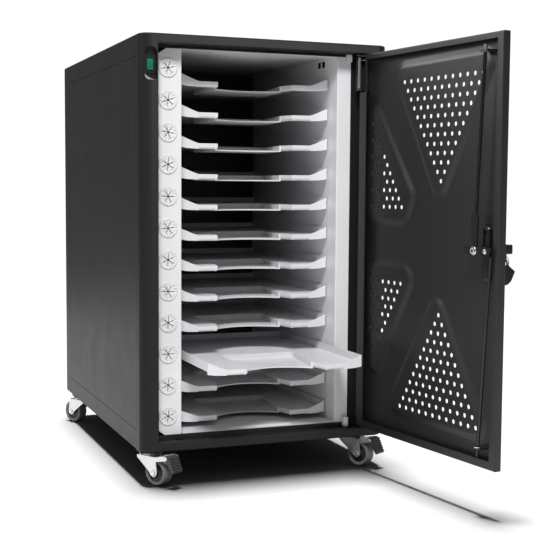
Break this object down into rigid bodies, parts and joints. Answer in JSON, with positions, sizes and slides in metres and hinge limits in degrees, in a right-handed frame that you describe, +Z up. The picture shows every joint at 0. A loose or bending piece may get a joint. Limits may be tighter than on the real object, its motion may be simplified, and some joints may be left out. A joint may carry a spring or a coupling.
{
  "type": "charging cabinet",
  "caption": "Steel charging cabinet on swivel casters with a lockable perforated door, pull-out device trays, a grommeted cable panel and a power switch.",
  "frame": {"origin": "on the floor, in the middle of the box around the whole object as it stands with its door open and one tray pulled out", "axes": "+Z up, +Y towards the back of the cabinet, the door side faces -Y, +X to the right seen from the front"},
  "size_m": [0.5524, 1.0826, 0.802],
  "materials": {
    "case_paint": "fine texture powder coat, satin",
    "inner_paint": "fine texture powder coat, satin",
    "white_paint": "smooth powder coat, satin",
    "tray_paint": "smooth powder coat, satin",
    "grommet_rubber": "matt, speckled",
    "black_plastic": "fine matt grain",
    "rocker_green": "clear gloss, lit",
    "lock_black": "semi-gloss black",
    "chrome": "bright plated",
    "zinc": "bright zinc plated",
    "wheel_grey": "matt grey tread",
    "cable_black": "matt sheath"
  },
  "bodies": {
    "cabinet": {"front_frame": "case_paint", "top_cover": "case_paint", "base_pan": "case_paint", "left_side_panel": "case_paint", "right_side_panel": "case_paint", "rear_panel": "case_paint", "cable_panel": "white_paint", "left_divider": "white_paint", "bay_liner": "white_paint", "bay_back_panel": "inner_paint", "power_strip": "black_plastic", "mains_inlet": "black_plastic", "mains_cable": "cable_black", "switch_bezel": "black_plastic", "grommet_01": "grommet_rubber", "grommet_02": "grommet_rubber", "grommet_03": "grommet_rubber", "grommet_04": "grommet_rubber", "grommet_05": "grommet_rubber", "grommet_06": "grommet_rubber", "grommet_07": "grommet_rubber", "grommet_08": "grommet_rubber", "grommet_09": "grommet_rubber", "grommet_10": "grommet_rubber", "grommet_11": "grommet_rubber", "grommet_12": "grommet_rubber"},
    "door": {"door_panel": "inner_paint", "upper_hinge_bracket": "inner_paint", "upper_hinge_pin": "chrome", "lower_hinge_pin": "chrome", "lock_housing": "lock_black"},
    "lock_handle": {"turn_handle": "lock_black", "lock_cam": "lock_black"},
    "upper_rod": {"upper_lock_rod": "lock_black"},
    "lower_rod": {"lower_lock_rod": "lock_black"},
    "padlock": {"padlock_body": "lock_black", "padlock_shackle": "chrome"},
    "power_rocker": {"switch_rocker": "rocker_green"},
    "tray_body_01": {"tray_01": "tray_paint"},
    "tray_body_02": {"tray_02": "tray_paint"},
    "tray_body_03": {"tray_03": "tray_paint"},
    "tray_body_04": {"tray_04": "tray_paint"},
    "tray_body_05": {"tray_05": "tray_paint"},
    "tray_body_06": {"tray_06": "tray_paint"},
    "tray_body_07": {"tray_07": "tray_paint"},
    "tray_body_08": {"tray_08": "tray_paint"},
    "tray_body_09": {"tray_09": "tray_paint"},
    "tray_body_10": {"tray_10": "tray_paint"},
    "tray_body_11": {"tray_11": "tray_paint"},
    "tray_body_12": {"tray_12": "tray_paint"},
    "front_left_swivel": {"front_left_caster_fork": "zinc"},
    "front_left_wheel": {"front_left_caster_wheel": "wheel_grey"},
    "front_left_pedal": {"front_left_brake_pedal": "black_plastic"},
    "front_right_swivel": {"front_right_caster_fork": "zinc"},
    "front_right_wheel": {"front_right_caster_wheel": "wheel_grey"},
    "front_right_pedal": {"front_right_brake_pedal": "black_plastic"},
    "rear_left_swivel": {"rear_left_caster_fork": "zinc"},
    "rear_left_wheel": {"rear_left_caster_wheel": "wheel_grey"},
    "rear_right_swivel": {"rear_right_caster_fork": "zinc"},
    "rear_right_wheel": {"rear_right_caster_wheel": "wheel_grey"}
  },
  "joints": [
    {"name": "door_hinge", "type": "hinge", "parent": "cabinet", "child": "door", "pos_m": [0.17094, -0.14273, 0.432], "axis": [0, 0, 1], "range_deg": [-97.7, 22.3]},
    {"name": "handle_turn", "type": "hinge", "parent": "door", "child": "lock_handle", "pos_m": [0.22373, -0.49584, 0.436], "axis": [0.991, 0.134, 0], "range_deg": [0, 90]},
    {"name": "upper_rod_slide", "type": "slide", "parent": "door", "child": "upper_rod", "axis": [0.0077, -0.0573, 0.9983], "range_m": [0, 0.0251]},
    {"name": "lower_rod_slide", "type": "slide", "parent": "door", "child": "lower_rod", "axis": [-0.0096, 0.0708, -0.9974], "range_m": [0, 0.0251]},
    {"name": "padlock_swing", "type": "hinge", "parent": "lock_handle", "child": "padlock", "pos_m": [0.25346, -0.49182, 0.4265], "axis": [0.991, 0.134, 0], "range_deg": [-75, 75]},
    {"name": "rocker_tilt", "type": "hinge", "parent": "cabinet", "child": "power_rocker", "pos_m": [-0.24506, -0.13673, 0.7475], "axis": [1, 0, 0], "range_deg": [0, 12]},
    {"name": "tray_01_slide", "type": "slide", "parent": "cabinet", "child": "tray_body_01", "axis": [0, -1, 0], "range_m": [0, 0.25]},
    {"name": "tray_02_slide", "type": "slide", "parent": "cabinet", "child": "tray_body_02", "axis": [0, -1, 0], "range_m": [0, 0.25]},
    {"name": "tray_03_slide", "type": "slide", "parent": "cabinet", "child": "tray_body_03", "axis": [0, -1, 0], "range_m": [0, 0.25]},
    {"name": "tray_04_slide", "type": "slide", "parent": "cabinet", "child": "tray_body_04", "axis": [0, -1, 0], "range_m": [0, 0.25]},
    {"name": "tray_05_slide", "type": "slide", "parent": "cabinet", "child": "tray_body_05", "axis": [0, -1, 0], "range_m": [0, 0.25]},
    {"name": "tray_06_slide", "type": "slide", "parent": "cabinet", "child": "tray_body_06", "axis": [0, -1, 0], "range_m": [0, 0.25]},
    {"name": "tray_07_slide", "type": "slide", "parent": "cabinet", "child": "tray_body_07", "axis": [0, -1, 0], "range_m": [0, 0.25]},
    {"name": "tray_08_slide", "type": "slide", "parent": "cabinet", "child": "tray_body_08", "axis": [0, -1, 0], "range_m": [0, 0.25]},
    {"name": "tray_09_slide", "type": "slide", "parent": "cabinet", "child": "tray_body_09", "axis": [0, -1, 0], "range_m": [0, 0.25]},
    {"name": "tray_10_slide", "type": "slide", "parent": "cabinet", "child": "tray_body_10", "axis": [0, -1, 0], "range_m": [-0.165, 0.04]},
    {"name": "tray_11_slide", "type": "slide", "parent": "cabinet", "child": "tray_body_11", "axis": [0, -1, 0], "range_m": [0, 0.25]},
    {"name": "tray_12_slide", "type": "slide", "parent": "cabinet", "child": "tray_body_12", "axis": [0, -1, 0], "range_m": [0, 0.25]},
    {"name": "front_left_swivel_turn", "type": "hinge", "parent": "cabinet", "child": "front_left_swivel", "pos_m": [-0.24006, -0.11673, 0.057], "axis": [0, 0, 1], "continuous": true},
    {"name": "front_left_wheel_spin", "type": "hinge", "parent": "front_left_swivel", "child": "front_left_wheel", "pos_m": [-0.22906, -0.13578, 0.025], "axis": [0.866, 0.5, 0], "continuous": true},
    {"name": "front_left_brake_press", "type": "hinge", "parent": "front_left_swivel", "child": "front_left_pedal", "pos_m": [-0.21381, -0.1622, 0.0544], "axis": [0.866, 0.5, 0], "range_deg": [0, 12]},
    {"name": "front_right_swivel_turn", "type": "hinge", "parent": "cabinet", "child": "front_right_swivel", "pos_m": [0.16694, -0.10373, 0.057], "axis": [0, 0, 1], "continuous": true},
    {"name": "front_right_wheel_spin", "type": "hinge", "parent": "front_right_swivel", "child": "front_right_wheel", "pos_m": [0.17794, -0.12278, 0.025], "axis": [0.866, 0.5, 0], "continuous": true},
    {"name": "front_right_brake_press", "type": "hinge", "parent": "front_right_swivel", "child": "front_right_pedal", "pos_m": [0.19319, -0.1492, 0.0544], "axis": [0.866, 0.5, 0], "range_deg": [0, 12]},
    {"name": "rear_left_swivel_turn", "type": "hinge", "parent": "cabinet", "child": "rear_left_swivel", "pos_m": [-0.24456, 0.45527, 0.057], "axis": [0, 0, 1], "continuous": true},
    {"name": "rear_left_wheel_spin", "type": "hinge", "parent": "rear_left_swivel", "child": "rear_left_wheel", "pos_m": [-0.25556, 0.47432, 0.025], "axis": [-0.866, -0.5, 0], "continuous": true},
    {"name": "rear_right_swivel_turn", "type": "hinge", "parent": "cabinet", "child": "rear_right_swivel", "pos_m": [0.18994, 0.45527, 0.057], "axis": [0, 0, 1], "continuous": true},
    {"name": "rear_right_wheel_spin", "type": "hinge", "parent": "rear_right_swivel", "child": "rear_right_wheel", "pos_m": [0.17894, 0.47432, 0.025], "axis": [-0.866, -0.5, 0], "continuous": true}
  ],
  "couplings": [
    {"joint": "upper_rod_slide", "follows": "handle_turn", "m_per_rad": 0.0159},
    {"joint": "lower_rod_slide", "follows": "handle_turn", "m_per_rad": 0.0159},
    {"joint": "tray_10_slide", "follows": "door_hinge", "m_per_rad": 0.09676}
  ]
}
